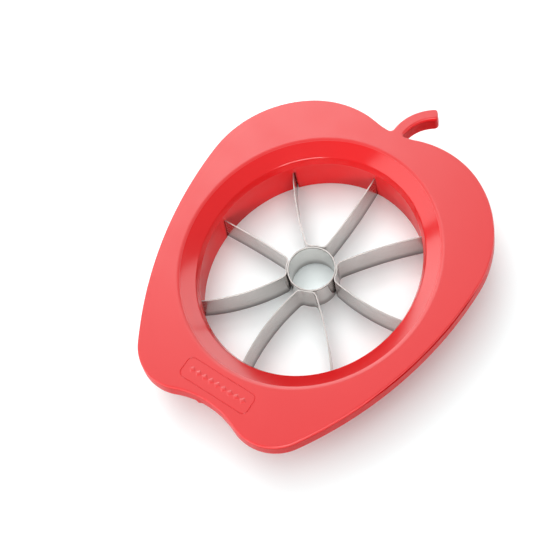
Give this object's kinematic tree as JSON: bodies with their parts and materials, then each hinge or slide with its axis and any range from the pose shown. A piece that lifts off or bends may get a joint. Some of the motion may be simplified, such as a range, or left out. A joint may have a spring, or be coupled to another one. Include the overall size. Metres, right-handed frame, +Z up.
{
  "type": "apple slicer and corer",
  "caption": "Apple-shaped plastic hand frame round an oval opening with a star of thin steel blades and a central core ring.",
  "frame": {"origin": "on the table, on the axis of the core ring, at the ring's lower edge", "axes": "+Z up out of the top face, +Y towards the stem, +X to the right with the stem pointing away"},
  "size_m": [0.1274, 0.1606, 0.0282],
  "materials": {
    "cover_plastic": "satin top face, glossy funnel and collar",
    "frame_plastic": "glossy",
    "ring_steel": "fine brushed",
    "blade_steel": "satin strip steel"
  },
  "bodies": {
    "root": {"top_cover": "cover_plastic", "bottom_frame": "frame_plastic", "core_ring": "ring_steel", "blade_strip_back": "blade_steel", "blade_strip_right": "blade_steel", "blade_strip_front": "blade_steel", "blade_strip_left": "blade_steel", "spot_welds": "ring_steel"}
  },
  "joints": []
}
